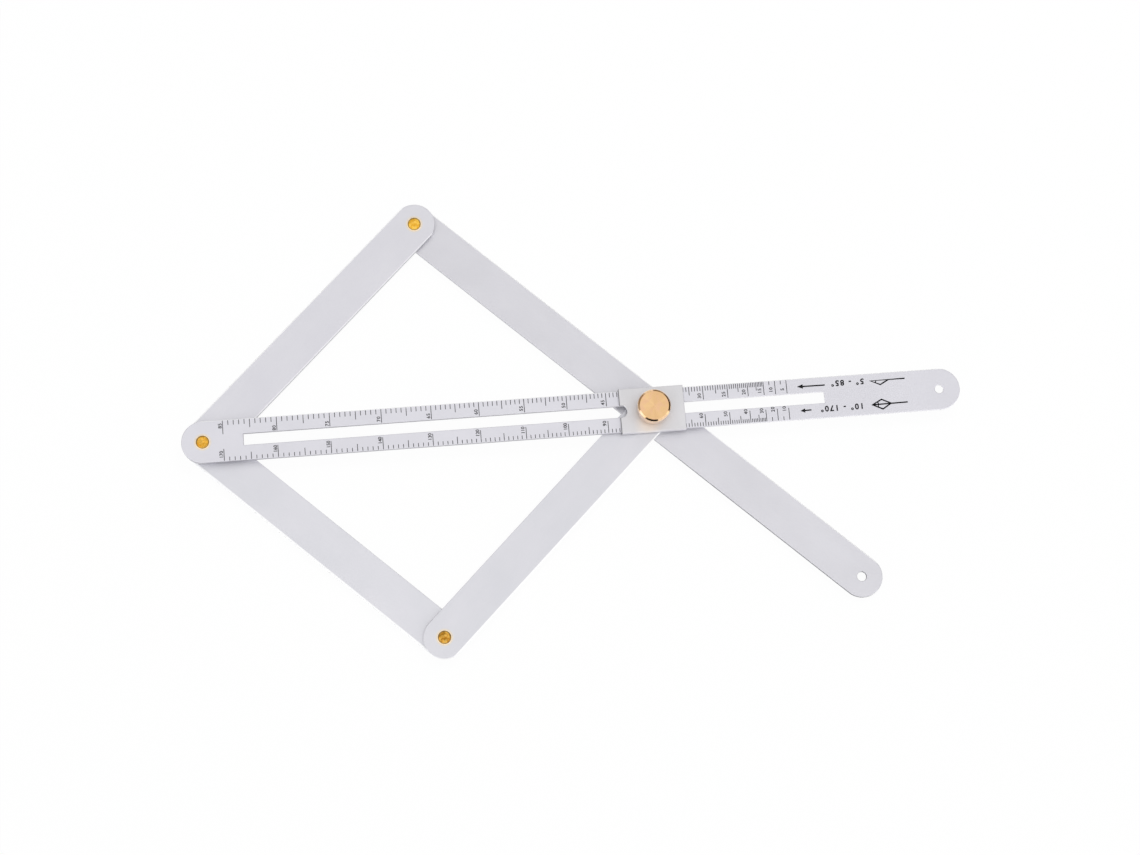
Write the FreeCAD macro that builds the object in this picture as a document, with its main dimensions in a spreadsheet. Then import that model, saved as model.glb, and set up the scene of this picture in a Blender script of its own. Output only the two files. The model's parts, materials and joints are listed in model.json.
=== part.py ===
import FreeCAD, Part
import math
import os
import Sketcher

# Angle finder with arms.
# Four flat arms are pinned together in a rhombus. One corner is riveted to the
# end of a slotted ruler and the opposite corner slides along the ruler's slot.
# A slider on the ruler carries that corner's stud, shows the half angle and the
# whole angle of the arms on the scale, and is clamped by a thumb knob.
# Millimetres. X runs along the ruler to its hanging hole, Z is up, and the
# origin is under the middle of the ruler, on the surface that the tool lies on.

DIMENSIONS = (
    ("pivot_span", 148.0, "between the two pivots of each arm of the rhombus"),
    ("rest_half_angle", 43.3, "degrees between the ruler and an arm, as it lies"),
    ("plate_thickness", 2.0, "every arm and the ruler"),
    ("plate_edge_round", 0.3, "broken edges of the plates"),
    ("arm_width", 20.0, "arms, with full round ends"),
    ("long_arm_tail", 127.8, "long arm, from the stud to its hanging hole"),
    ("arm_hang_bore", 4.6, "hanging hole of the long arm"),
    ("ruler_width", 20.25, "ruler, with full round ends"),
    ("ruler_tail", 56.3, "ruler, from the end of its slot to its hanging hole"),
    ("ruler_hang_bore", 4.2, "hanging hole of the ruler"),
    ("slot_width", 5.6, "slot along the ruler"),
    ("slot_start", 19.4, "from the ruler's pivot to the near end of the slot"),
    ("slot_spare", 0.1, "slot left over when the rhombus is folded flat"),
    ("running_fit", 0.05, "air around a shaft, in a hole that turns or slides on it"),
    ("face_play", 0.05, "air between two flat faces that turn on each other"),
    ("rivet_shank", 4.0, "rivets, through the arms"),
    ("rivet_head", 6.8, "domed head of a rivet"),
    ("rivet_rim", 0.2, "upright rim under the dome"),
    ("rivet_dome", 0.5, "height of the dome over its rim"),
    ("rivet_tail", 6.4, "closed end of a rivet, under the lowest arm"),
    ("tail_bevel", 0.25, "bevel round the closed end"),
    ("foot_height", 1.0, "closed ends and stud head, on which the tool lies"),
    ("friction_washer_width", 12.0, "thin washers between the arms"),
    ("friction_washer_thickness", 0.3, "thin washers between the arms"),
    ("slider_length", 31.3, "slider, along the ruler"),
    ("reading_reach", 15.95, "from the stud back to the slider's reading edge"),
    ("slider_plate", 1.2, "top of the slider"),
    ("flange_wall", 0.75, "flanges of the slider, down the ruler's edges"),
    ("flange_lift", 0.3, "from the ruler's underside up to the ends of the flanges"),
    ("slider_edge_round", 0.3, "broken edges of the slider"),
    ("notch_radius", 3.0, "round end of the reading notch"),
    ("notch_depth", 3.5, "reading notch, from the reading edge"),
    ("stud_head", 11.0, "head of the stud, under the long arm"),
    ("stud_head_bevel", 0.3, "bevel round the stud's head"),
    ("flat_depth", 0.25, "from the stud's round shoulder in to its flats, each side"),
    ("thread_depth", 0.35, "from the stud's flats in to its thread, each side"),
    ("stud_tip_gap", 0.3, "air over the stud inside the knob"),
    ("stud_tip_bevel", 0.4, "bevel at the stud's tip"),
    ("knob_washer_width", 14.4, "washer under the knob"),
    ("knob_washer_thickness", 0.5, "washer under the knob"),
    ("knob_neck_step", 0.5, "from the knob's side in to its neck"),
    ("knob_neck_height", 2.0, "neck of the knob, under its head"),
    ("knob_width", 16.0, "head of the knob"),
    ("knob_head_height", 5.9, "head of the knob"),
    ("knob_top_bevel", 0.75, "width of the bevel round the knob's flat top"),
    ("knob_top_drop", 0.6, "height of the bevel round the knob's flat top"),
    ("knob_rim", 0.5, "narrow rim between that bevel and the grooved side"),
    ("knob_under_bevel", 0.3, "bevel under the knob's head"),
    ("knob_crown", 1.6, "metal over the knob's blind thread"),
    ("knurl_count", 72, "number of grooves round the knob"),
    ("knurl_depth", 0.2, "depth of a groove round the knob"),
    ("cut_overrun", 1.0, "how far a cut runs past the metal"),
)


class Measure:
    """A number, with the formula on the sheet that gives it."""

    def __init__(self, number, formula):
        self.number = number
        self.formula = formula

    def __add__(self, other):
        return joined(self, "+", other)

    def __radd__(self, other):
        return joined(other, "+", self)

    def __sub__(self, other):
        return joined(self, "-", other)

    def __mul__(self, other):
        return joined(self, "*", other)

    def __rmul__(self, other):
        return joined(other, "*", self)

    def __truediv__(self, other):
        return joined(self, "/", other)

    def __neg__(self):
        return joined(-1, "*", self)


def joined(left, sign, right):
    """Join two measures, or a measure and a plain factor, by an arithmetic sign."""
    pair = []
    for side in (left, right):
        pair.append(side if isinstance(side, Measure) else Measure(side, str(side)))
    a, b = pair[0].number, pair[1].number
    if sign == "+":
        number = a + b
    elif sign == "-":
        number = a - b
    elif sign == "*":
        number = a * b
    else:
        number = a / b
    return Measure(number, f"({pair[0].formula} {sign} {pair[1].formula})")


def cosine(angle):
    return Measure(math.cos(math.radians(angle.number)), f"cos({angle.formula} * 1 deg)")


def sine(angle):
    return Measure(math.sin(math.radians(angle.number)), f"sin({angle.formula} * 1 deg)")


class Sizes:
    """The driving dimensions: one attribute for each named cell of the sheet."""

    def __init__(self, document):
        sheet = document.addObject("Spreadsheet::Sheet", "sizes")
        for row, (alias, value, note) in enumerate(DIMENSIONS, start=1):
            sheet.set(f"A{row}", alias)
            sheet.set(f"B{row}", str(value))
            sheet.set(f"C{row}", note)
            sheet.setAlias(f"B{row}", alias)
            setattr(self, alias, Measure(value, f"sizes.{alias}"))


document = FreeCAD.newDocument("angle_finder")
size = Sizes(document)
document.recompute()
ZERO = Measure(0.0, "0")

# Holes and widths that follow from what runs in them
rivet_hole = size.rivet_shank + 2 * size.running_fit
stud_flats = size.slot_width - 2 * size.running_fit
stud_shoulder = stud_flats + 2 * size.flat_depth
stud_hole = stud_shoulder + 2 * size.running_fit
stud_thread = stud_flats - 2 * size.thread_depth
thread_hole = stud_thread + 2 * size.running_fit
slider_inside = size.ruler_width + 2 * size.running_fit
slider_outside = slider_inside + 2 * size.flange_wall

# Lengths from the pivots: the slot lets the rhombus fold flat
slot_end = 2 * size.pivot_span + stud_shoulder / 2 + size.slot_spare
ruler_reach = slot_end + size.ruler_tail
long_arm_reach = size.pivot_span + size.long_arm_tail

# Levels, from the surface that the tool lies on up to the knob
layer_gap = size.friction_washer_thickness + 2 * size.face_play
low_level = size.foot_height + size.face_play
low_washer_level = low_level + size.plate_thickness + size.face_play
middle_level = low_level + size.plate_thickness + layer_gap
high_washer_level = middle_level + size.plate_thickness + size.face_play
ruler_level = middle_level + size.plate_thickness + layer_gap
ruler_top = ruler_level + size.plate_thickness
slider_level = ruler_top + size.face_play
knob_washer_level = slider_level + size.slider_plate + size.face_play
knob_level = knob_washer_level + size.knob_washer_thickness + size.face_play
knob_height = size.knob_neck_height + size.knob_head_height
knob_bore_depth = knob_height - size.knob_crown
stud_top = knob_level + knob_bore_depth - size.stud_tip_gap

# Corners of the rhombus, seen from above, as the tool lies
half_angle = size.rest_half_angle
ruler_pivot = (-(ruler_reach / 2), ZERO)
upper_pivot = (ruler_pivot[0] + size.pivot_span * cosine(half_angle),
               size.pivot_span * sine(half_angle))
lower_pivot = (upper_pivot[0], -upper_pivot[1])
stud_axis = (ruler_pivot[0] + 2 * size.pivot_span * cosine(half_angle), ZERO)


def bind(feature, **measures):
    """Tie properties of a feature to the sheet."""
    for name, measure in measures.items():
        feature.setExpression(name, measure.formula)


def place(feature, spot, level, turn=None):
    """Stand a sub-part on its pivot, at its level, turned in the plane of the tool."""
    axis = FreeCAD.Vector(0, 0, 1)
    angle = turn.number if turn else 0
    base = FreeCAD.Vector(spot[0].number, spot[1].number, level.number)
    feature.Placement = FreeCAD.Placement(base, FreeCAD.Rotation(axis, angle))
    feature.setExpression(".Placement.Base.x", spot[0].formula)
    feature.setExpression(".Placement.Base.y", spot[1].formula)
    feature.setExpression(".Placement.Base.z", level.formula)
    if turn:
        feature.setExpression(".Placement.Rotation.Angle", turn.formula)


def new_body(label):
    body = document.addObject("PartDesign::Body", label)
    body.Label = label
    return body


def new_sketch(body, name, role="XY_Plane"):
    """A sketch on one of the body's own origin planes."""
    sketch = body.newObject("Sketcher::SketchObject", f"{body.Name}_{name}")
    plane = [item for item in body.Origin.OriginFeatures if item.Role == role][0]
    sketch.AttachmentSupport = [(plane, "")]
    sketch.MapMode = "FlatFace"
    return sketch


def constrain(sketch, name, measure, kind, *where):
    """Add a named dimension to a sketch and tie it to the sheet."""
    index = sketch.addConstraint(Sketcher.Constraint(kind, *where, measure.number))
    sketch.renameConstraint(index, name)
    sketch.setExpression(f"Constraints.{name}", measure.formula)


def point(x, y):
    return FreeCAD.Vector(x.number, y.number, 0)


def fix_point(sketch, name, edge, end, x, y):
    """Hold one end of a sketch edge at x and y: on an axis where a value is zero."""
    vertical_axis, horizontal_axis = -2, -1
    for letter, measure, kind, axis in (("x", x, "DistanceX", vertical_axis),
                                        ("y", y, "DistanceY", horizontal_axis)):
        if measure is ZERO:
            sketch.addConstraint(Sketcher.Constraint("PointOnObject", edge, end, axis))
        else:
            constrain(sketch, f"{name}_{letter}", measure, kind, -1, 1, edge, end)


def add_circle(sketch, name, x, width):
    """A circle on the sketch's long axis."""
    up = FreeCAD.Vector(0, 0, 1)
    edge = sketch.addGeometry(Part.Circle(point(x, ZERO), up, width.number / 2), False)
    fix_point(sketch, name, edge, 3, x, ZERO)
    constrain(sketch, f"{name}_width", width, "Diameter", edge)


def add_polygon(sketch, name, corners):
    """A closed outline of straight edges through corners that follow the sheet."""
    count = len(corners)
    first = sketch.GeometryCount
    for here in range(count):
        start, end = corners[here], corners[(here + 1) % count]
        sketch.addGeometry(Part.LineSegment(point(*start), point(*end)), False)
    for here in range(count):
        following = first + (here + 1) % count
        sketch.addConstraint(Sketcher.Constraint("Coincident", first + here, 2, following, 1))
    for here, corner in enumerate(corners):
        fix_point(sketch, f"{name}_{here}", first + here, 1, *corner)


def add_round_ended_bar(sketch, reach, width):
    """Outline of a flat bar with full round ends, from one pivot along X to the other."""
    up = FreeCAD.Vector(0, 0, 1)
    radius = width / 2
    quarter = math.pi / 2
    near = Part.ArcOfCircle(Part.Circle(point(ZERO, ZERO), up, radius.number), quarter, 3 * quarter)
    far = Part.ArcOfCircle(Part.Circle(point(reach, ZERO), up, radius.number), -quarter, quarter)
    lower = Part.LineSegment(point(ZERO, -radius), point(reach, -radius))
    upper = Part.LineSegment(point(reach, radius), point(ZERO, radius))
    near_end, lower_edge, far_end, upper_edge = sketch.addGeometry([near, lower, far, upper], False)
    sketch.addConstraint([
        Sketcher.Constraint("Coincident", near_end, 3, -1, 1),
        Sketcher.Constraint("PointOnObject", far_end, 3, -1),
        Sketcher.Constraint("Tangent", near_end, 2, lower_edge, 1),
        Sketcher.Constraint("Tangent", lower_edge, 2, far_end, 1),
        Sketcher.Constraint("Tangent", far_end, 2, upper_edge, 1),
        Sketcher.Constraint("Tangent", upper_edge, 2, near_end, 1),
        Sketcher.Constraint("Horizontal", lower_edge),
    ])
    constrain(sketch, "reach", reach, "DistanceX", -1, 1, far_end, 3)
    constrain(sketch, "end_radius", radius, "Radius", near_end)


def add_pad(body, sketch, length, both_ways=False):
    pad = body.newObject("PartDesign::Pad", f"{sketch.Name}_pad")
    pad.Profile = sketch
    pad.SideType = "Symmetric" if both_ways else "One side"
    bind(pad, Length=length)
    document.recompute()
    return pad


def add_pocket(body, sketch, length):
    """Cut a sketch upwards through the body, and make sure that metal went."""
    before = body.Shape.Volume
    pocket = body.newObject("PartDesign::Pocket", f"{sketch.Name}_cut")
    pocket.Profile = sketch
    pocket.Reversed = True
    bind(pocket, Length=length)
    document.recompute()
    if not body.Shape.Volume < before:
        raise RuntimeError(f"{pocket.Name} cuts nothing")
    return pocket


def add_revolution(body, sketch):
    turned = body.newObject("PartDesign::Revolution", f"{sketch.Name}_turned")
    turned.Profile = sketch
    turned.ReferenceAxis = (sketch, ["V_Axis"])
    turned.Angle = 360
    document.recompute()
    return turned


def edges_of(feature, wanted):
    """Names of the feature's edges whose box passes the test."""
    names = []
    for number, edge in enumerate(feature.Shape.Edges, start=1):
        if wanted(edge.BoundBox):
            names.append(f"Edge{number}")
    return names


def add_fillet(body, feature, edges, radius):
    fillet = body.newObject("PartDesign::Fillet", f"{feature.Name}_round")
    fillet.Base = (feature, edges)
    bind(fillet, Radius=radius)
    document.recompute()
    return fillet


def lies_flat(box):
    return box.ZLength < size.plate_edge_round.number


def make_plate(label, reach, width, holes, slot=None):
    """A flat bar with holes on its middle line, its edges broken above and below."""
    body = new_body(label)
    outline = new_sketch(body, "outline")
    add_round_ended_bar(outline, reach, width)
    add_pad(body, outline, size.plate_thickness)
    openings = new_sketch(body, "openings")
    for number, (distance, bore) in enumerate(holes):
        add_circle(openings, f"hole_{number}", distance, bore)
    if slot:
        add_polygon(openings, "slot", slot)
    cut = add_pocket(body, openings, size.plate_thickness + size.cut_overrun)
    add_fillet(body, cut, edges_of(cut, lies_flat), size.plate_edge_round)
    return body


def make_ruler():
    half_slot = size.slot_width / 2
    slot = ((size.slot_start, -half_slot), (slot_end, -half_slot),
            (slot_end, half_slot), (size.slot_start, half_slot))
    holes = ((ZERO, rivet_hole), (ruler_reach, size.ruler_hang_bore))
    ruler = make_plate("scale_ruler", ruler_reach, size.ruler_width, holes, slot)
    place(ruler, ruler_pivot, ruler_level)
    return ruler


def make_arms():
    """Two arms from the ruler's pivot, and two that cross on the stud."""
    span, width = size.pivot_span, size.arm_width
    riveted = ((ZERO, rivet_hole), (span, rivet_hole))
    upper = make_plate("upper_arm", span, width, riveted)
    place(upper, ruler_pivot, middle_level, half_angle)
    lower = make_plate("lower_arm", span, width, riveted)
    place(lower, ruler_pivot, low_level, -half_angle)
    on_stud = ((ZERO, rivet_hole), (span, stud_hole))
    short = make_plate("short_arm", span, width, on_stud)
    place(short, lower_pivot, middle_level, half_angle)
    hanging = on_stud + ((long_arm_reach, size.arm_hang_bore),)
    long = make_plate("long_arm", long_arm_reach, width, hanging)
    place(long, upper_pivot, low_level, -half_angle)
    return [upper, lower, short, long]


def make_rivet(label, spot, head_level):
    """A rivet with a low domed head above and a flat closed end at the foot."""
    body = new_body(label)
    profile = new_sketch(body, "profile", "XZ_Plane")
    shank, head, tail = size.rivet_shank / 2, size.rivet_head / 2, size.rivet_tail / 2
    rim_level = head_level + size.rivet_rim
    top_level = rim_level + size.rivet_dome
    corners = ((ZERO, top_level), (ZERO, ZERO), (tail - size.tail_bevel, ZERO),
               (tail, size.tail_bevel), (tail, size.foot_height), (shank, size.foot_height),
               (shank, head_level), (head, head_level), (head, rim_level))
    for start, end in zip(corners, corners[1:]):
        profile.addGeometry(Part.LineSegment(point(*start), point(*end)), False)
    # The dome's centre lies on the rivet's axis, under both its rim and its top
    half_chord, rise = head.number, size.rivet_dome.number
    dome_radius = (half_chord ** 2 + rise ** 2) / (2 * rise)
    centre = FreeCAD.Vector(0, top_level.number - dome_radius, 0)
    start_angle = math.acos(half_chord / dome_radius)
    ball = Part.Circle(centre, FreeCAD.Vector(0, 0, 1), dome_radius)
    dome = profile.addGeometry(Part.ArcOfCircle(ball, start_angle, math.pi / 2), False)
    for edge in range(dome - 1):
        profile.addConstraint(Sketcher.Constraint("Coincident", edge, 2, edge + 1, 1))
    profile.addConstraint([
        Sketcher.Constraint("Coincident", dome - 1, 2, dome, 1),
        Sketcher.Constraint("Coincident", dome, 2, 0, 1),
        Sketcher.Constraint("PointOnObject", dome, 3, -2),
    ])
    for number, corner in enumerate(corners[:-1]):
        fix_point(profile, f"corner_{number}", number, 1, *corner)
    fix_point(profile, "rim", dome - 1, 2, *corners[-1])
    add_revolution(body, profile)
    place(body, spot, ZERO)
    return body


def make_rivets():
    """The ruler's rivet holds three plates, the other two hold two each."""
    arm_top = middle_level + size.plate_thickness
    return [make_rivet("ruler_rivet", ruler_pivot, ruler_top),
            make_rivet("upper_rivet", upper_pivot, arm_top),
            make_rivet("lower_rivet", lower_pivot, arm_top)]


def make_ring(label, spot, level, width, bore, thickness):
    """A flat washer: a disc with a hole."""
    disc = document.addObject("Part::Cylinder", f"{label}_disc")
    bind(disc, Radius=width / 2, Height=thickness)
    hole = document.addObject("Part::Cylinder", f"{label}_hole")
    bind(hole, Radius=bore / 2, Height=thickness + 2 * size.cut_overrun)
    hole.setExpression(".Placement.Base.z", (-size.cut_overrun).formula)
    ring = document.addObject("Part::Cut", label)
    ring.Base = disc
    ring.Tool = hole
    ring.Label = label
    place(ring, spot, level)
    return ring


def make_friction_washers():
    """One thin washer between each two plates that turn on each other."""
    places = (("ruler_washer_top", ruler_pivot, high_washer_level, rivet_hole),
              ("ruler_washer_bottom", ruler_pivot, low_washer_level, rivet_hole),
              ("upper_washer", upper_pivot, low_washer_level, rivet_hole),
              ("lower_washer", lower_pivot, low_washer_level, rivet_hole),
              ("stud_washer_top", stud_axis, high_washer_level, stud_hole),
              ("stud_washer_bottom", stud_axis, low_washer_level, stud_hole))
    washers = []
    for label, spot, level, bore in places:
        washers.append(make_ring(label, spot, level, size.friction_washer_width, bore,
                                 size.friction_washer_thickness))
    return washers


def make_slider():
    """A channel over the ruler, with a reading notch and the stud's hole."""
    body = new_body("slider")
    section = new_sketch(body, "section", "YZ_Plane")
    outside, inside = slider_outside / 2, slider_inside / 2
    top, low = size.slider_plate, ruler_level + size.flange_lift - slider_level
    corners = ((outside, top), (-outside, top), (-outside, low), (-inside, low),
               (-inside, ZERO), (inside, ZERO), (inside, low), (outside, low))
    add_polygon(section, "section", corners)
    middle = size.slider_length / 2 - size.reading_reach
    section.setExpression(".AttachmentOffset.Base.z", middle.formula)
    add_pad(body, section, size.slider_length, both_ways=True)
    outline = new_sketch(body, "openings")
    add_circle(outline, "stud_hole", ZERO, thread_hole)
    add_notch(outline, -size.reading_reach)
    cut = add_pocket(body, outline, size.slider_plate + size.cut_overrun)
    plate_top = size.slider_plate.number

    def on_top(box):
        return box.ZMin > plate_top - size.slider_edge_round.number

    add_fillet(body, cut, edges_of(cut, on_top), size.slider_edge_round)
    place(body, stud_axis, slider_level)
    return body


def add_notch(sketch, reading_edge):
    """A notch with parallel sides and a half round end, open at the reading edge."""
    radius = size.notch_radius
    centre_x = reading_edge + size.notch_depth - radius
    outside_x = reading_edge - size.cut_overrun
    quarter = math.pi / 2
    circle = Part.Circle(point(centre_x, ZERO), FreeCAD.Vector(0, 0, 1), radius.number)
    end, lower, opening, upper = sketch.addGeometry([
        Part.ArcOfCircle(circle, -quarter, quarter),
        Part.LineSegment(point(outside_x, -radius), point(centre_x, -radius)),
        Part.LineSegment(point(outside_x, radius), point(outside_x, -radius)),
        Part.LineSegment(point(centre_x, radius), point(outside_x, radius))], False)
    sketch.addConstraint([
        Sketcher.Constraint("Tangent", lower, 2, end, 1),
        Sketcher.Constraint("Tangent", end, 2, upper, 1),
        Sketcher.Constraint("Coincident", upper, 2, opening, 1),
        Sketcher.Constraint("Coincident", opening, 2, lower, 1),
        Sketcher.Constraint("Vertical", opening),
        Sketcher.Constraint("Horizontal", lower),
    ])
    fix_point(sketch, "notch_centre", end, 3, centre_x, ZERO)
    constrain(sketch, "notch_radius", radius, "Radius", end)
    constrain(sketch, "notch_opening", outside_x, "DistanceX", -1, 1, opening, 1)


def make_stud():
    """Head under the arms, round shoulder through two of them, flats in the slot, thread."""
    body = new_body("slider_stud")
    profile = new_sketch(body, "profile", "XZ_Plane")
    head, shoulder, thread = size.stud_head / 2, stud_shoulder / 2, stud_thread / 2
    corners = ((ZERO, stud_top), (ZERO, ZERO), (head - size.stud_head_bevel, ZERO),
               (head, size.stud_head_bevel), (head, size.foot_height),
               (shoulder, size.foot_height), (shoulder, ruler_top), (thread, ruler_top),
               (thread, stud_top - size.stud_tip_bevel),
               (thread - size.stud_tip_bevel, stud_top))
    add_polygon(profile, "turned", corners)
    add_revolution(body, profile)
    flats = new_sketch(body, "flats")
    start = high_washer_level + size.friction_washer_thickness
    flats.setExpression(".AttachmentOffset.Base.z", start.formula)
    near, far = stud_flats / 2, shoulder + size.cut_overrun
    for name, inner, outer in (("front", -near, -far), ("back", near, far)):
        corners = ((-far, inner), (far, inner), (far, outer), (-far, outer))
        add_polygon(flats, name, corners)
    add_pocket(body, flats, ruler_top - start)
    place(body, stud_axis, ZERO)
    return body


def make_knob():
    """A turned knob with a neck, a bevelled and grooved head and a blind thread."""
    body = new_body("thumb_knob")
    profile = new_sketch(body, "profile", "XZ_Plane")
    bore, head = thread_hole / 2, size.knob_width / 2
    neck, under, rim = head - size.knob_neck_step, size.knob_under_bevel, head - size.knob_rim
    head_level = size.knob_neck_height
    rim_level = knob_height - size.knob_top_drop
    corners = ((bore, ZERO), (neck, ZERO), (neck, head_level),
               (head - under, head_level), (head, head_level + under),
               (head, rim_level), (rim, rim_level), (rim - size.knob_top_bevel, knob_height),
               (ZERO, knob_height), (ZERO, knob_bore_depth), (bore, knob_bore_depth))
    add_polygon(profile, "turned", corners)
    add_revolution(body, profile)
    groove = new_sketch(body, "groove")
    groove.setExpression(".AttachmentOffset.Base.z", head_level.formula)
    depth = size.knurl_depth
    corners = ((head - depth, ZERO), (head + depth, 2 * depth), (head + depth, -2 * depth))
    add_polygon(groove, "cutter", corners)
    cut = add_pocket(body, groove, rim_level - head_level - depth)
    ring = body.newObject("PartDesign::PolarPattern", "thumb_knob_grooves")
    ring.Originals = [cut]
    ring.Axis = (groove, ["N_Axis"])
    ring.Angle = 360
    bind(ring, Occurrences=size.knurl_count)
    body.Tip = ring
    place(body, stud_axis, knob_level)
    return body


def make_everything():
    parts = [make_ruler()] + make_arms() + make_rivets() + make_friction_washers()
    parts += [make_slider(), make_stud()]
    parts.append(make_ring("knob_washer", stud_axis, knob_washer_level, size.knob_washer_width,
                           thread_hole, size.knob_washer_thickness))
    parts.append(make_knob())
    document.recompute()
    return parts


def check(parts):
    """Stop if any feature failed or any sub-part has no sound solid."""
    for item in document.Objects:
        if "Invalid" in item.State or "Error" in item.State:
            raise RuntimeError(f"{item.Name} failed: {item.State}")
    for part in parts:
        shape = part.Shape
        if shape.isNull() or not shape.isValid() or len(shape.Solids) != 1:
            raise RuntimeError(f"{part.Label} is not one sound solid")


def write(parts):
    os.makedirs("parts", exist_ok=True)
    for part in parts:
        part.Shape.exportStep(f"parts/{part.Label}.step")
        box = part.Shape.BoundBox
        print(f"{part.Label}: {part.Shape.Volume:.1f} mm3, x {box.XMin:.2f} to {box.XMax:.2f}, "
              f"y {box.YMin:.2f} to {box.YMax:.2f}, z {box.ZMin:.2f} to {box.ZMax:.2f}")


all_parts = make_everything()
check(all_parts)
write(all_parts)
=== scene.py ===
# %% [markdown]
# An angle finder with arms, lesson 1: the frame.
# The real tool is four flat metal arms pinned in a rhombus, a slotted ruler with an angle scale, and a
# slider with a brass thumb knob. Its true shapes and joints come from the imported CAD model. Blender could
# build all of it again, but then the plates would drift from the pivots, so the model is loaded first and
# stays fixed, and everything made here is placed from it.

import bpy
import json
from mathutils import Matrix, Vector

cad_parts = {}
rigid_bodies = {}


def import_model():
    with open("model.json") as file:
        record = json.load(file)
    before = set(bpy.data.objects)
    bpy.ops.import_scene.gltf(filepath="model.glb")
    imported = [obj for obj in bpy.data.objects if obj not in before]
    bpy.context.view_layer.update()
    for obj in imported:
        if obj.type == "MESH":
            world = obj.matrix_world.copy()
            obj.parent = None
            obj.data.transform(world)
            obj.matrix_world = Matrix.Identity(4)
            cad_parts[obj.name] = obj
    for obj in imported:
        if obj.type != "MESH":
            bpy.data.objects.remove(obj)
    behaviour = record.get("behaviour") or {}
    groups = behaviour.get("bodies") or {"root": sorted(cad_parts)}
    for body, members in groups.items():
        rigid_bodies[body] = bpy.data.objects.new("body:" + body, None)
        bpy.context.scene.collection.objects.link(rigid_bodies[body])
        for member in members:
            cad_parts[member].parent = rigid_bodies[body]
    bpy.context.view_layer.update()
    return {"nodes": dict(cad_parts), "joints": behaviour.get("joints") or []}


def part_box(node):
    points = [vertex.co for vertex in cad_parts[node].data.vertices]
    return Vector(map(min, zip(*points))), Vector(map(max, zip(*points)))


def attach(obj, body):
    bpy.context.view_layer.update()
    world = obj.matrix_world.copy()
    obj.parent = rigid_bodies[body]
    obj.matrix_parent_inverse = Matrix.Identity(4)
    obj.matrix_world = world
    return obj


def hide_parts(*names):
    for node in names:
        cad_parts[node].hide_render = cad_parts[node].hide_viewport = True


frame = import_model()

# %% [markdown]
# Places and levels. Every mark and rivet sits on a pivot or on the ruler's face, so these are read from
# the joints and from the nodes' boxes once. The other way, writing them again as numbers, goes wrong as
# soon as a size changes.

# %% Pivots, angle and the ruler's face
import json
import math

import bmesh
import bpy
from mathutils import Matrix, Vector

MM = 0.001
pivots = {joint["name"]: Vector(joint["pos_m"]) for joint in frame["joints"] if "pos_m" in joint}
ruler_pivot, upper_pivot = pivots["fold"], pivots["long_arm_pivot"]
lower_pivot, stud_axis = pivots["short_arm_pivot"], pivots["slider_pivot"]
arm_span = (upper_pivot - ruler_pivot).length
half_angle = math.atan2(upper_pivot.y - ruler_pivot.y, upper_pivot.x - ruler_pivot.x)
ruler_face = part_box("scale_ruler")[1].z
reading_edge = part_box("slider")[0].x - stud_axis.x
print(f"pivots {arm_span / MM:.1f} mm apart, half angle {math.degrees(half_angle):.1f} degrees")
print(f"ruler's face at {ruler_face / MM:.2f} mm, reading edge {reading_edge / MM:.2f} mm from the stud")

# %% [markdown]
# The camera. The photograph was taken from almost straight above with a long lens. Its place was found by
# fitting the pivots and the plates' outlines, so the camera is written as a point to look at, a distance
# and three small turns, which is easier to read than a matrix.

# %% Camera
look_at = Vector((-2.241, -4.171, 0)) * MM
look_from_distance = 1111.942 * MM
turn_x, turn_y, turn_z = (math.radians(angle) for angle in (-12.12, 2.761, 4.839))
to_camera = (Matrix.Rotation(turn_x, 3, "X") @ Matrix.Rotation(turn_y, 3, "Y")
             @ Matrix.Rotation(turn_z, 3, "Z"))
camera_turn = to_camera.transposed()
camera_data = bpy.data.cameras.new("camera")
camera_data.sensor_fit = "HORIZONTAL"
camera_data.sensor_width = 36
camera_data.lens = 72.70
camera = bpy.data.objects.new("camera", camera_data)
camera_place = look_at + camera_turn.col[2] * look_from_distance
camera.matrix_world = Matrix.Translation(camera_place) @ camera_turn.to_4x4()
bpy.context.scene.collection.objects.link(camera)
bpy.context.scene.camera = camera
bpy.context.scene.view_settings.view_transform = "Standard"
print("camera at", tuple(round(v, 4) for v in camera.matrix_world.translation))

# %% [markdown]
# Node helpers. A material or a Geometry Nodes tree is a list of nodes and links. Written out in full that
# is four lines a node, so one helper makes a node, sets it and links its inputs. It works for both kinds
# of tree.

# %% A helper that adds and links one node
def add(tree, kind, inputs=None, **settings):
    node = tree.nodes.new(kind)
    for name, value in settings.items():
        setattr(node, name, value)
    for socket, value in (inputs or {}).items():
        if isinstance(value, bpy.types.NodeSocket):
            tree.links.new(value, node.inputs[socket])
        else:
            node.inputs[socket].default_value = value
    return node


def calc(tree, operation, *values, clamp=False):
    inputs = dict(enumerate(values))
    return add(tree, "ShaderNodeMath", inputs, operation=operation, use_clamp=clamp).outputs[0]


def remap(tree, value, low, high, to_low=0.0, to_high=1.0):
    inputs = {0: value, 1: low, 2: high, 3: to_low, 4: to_high}
    return add(tree, "ShaderNodeMapRange", inputs).outputs[0]


print("helpers: add, calc, remap")

# %% [markdown]
# The room. The tool lies on a plain white table under soft light from the upper right. White for the
# camera and for reflections comes from the colour of the table and the world themselves; light for matt
# surfaces comes from a softer world and one large lamp, which throws the short shadows beside the plates.
# More lamp power would whiten the table as well, but it would wash the metal out.

# %% World, table and lamp
def seen_directly(tree):
    """1 for rays from the camera, from a reflection or through a clear body, and 0 for all others."""
    path = add(tree, "ShaderNodeLightPath")
    shiny = calc(tree, "MAXIMUM", path.outputs["Is Camera Ray"], path.outputs["Is Glossy Ray"])
    return calc(tree, "MAXIMUM", shiny, path.outputs["Is Transmission Ray"])


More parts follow.
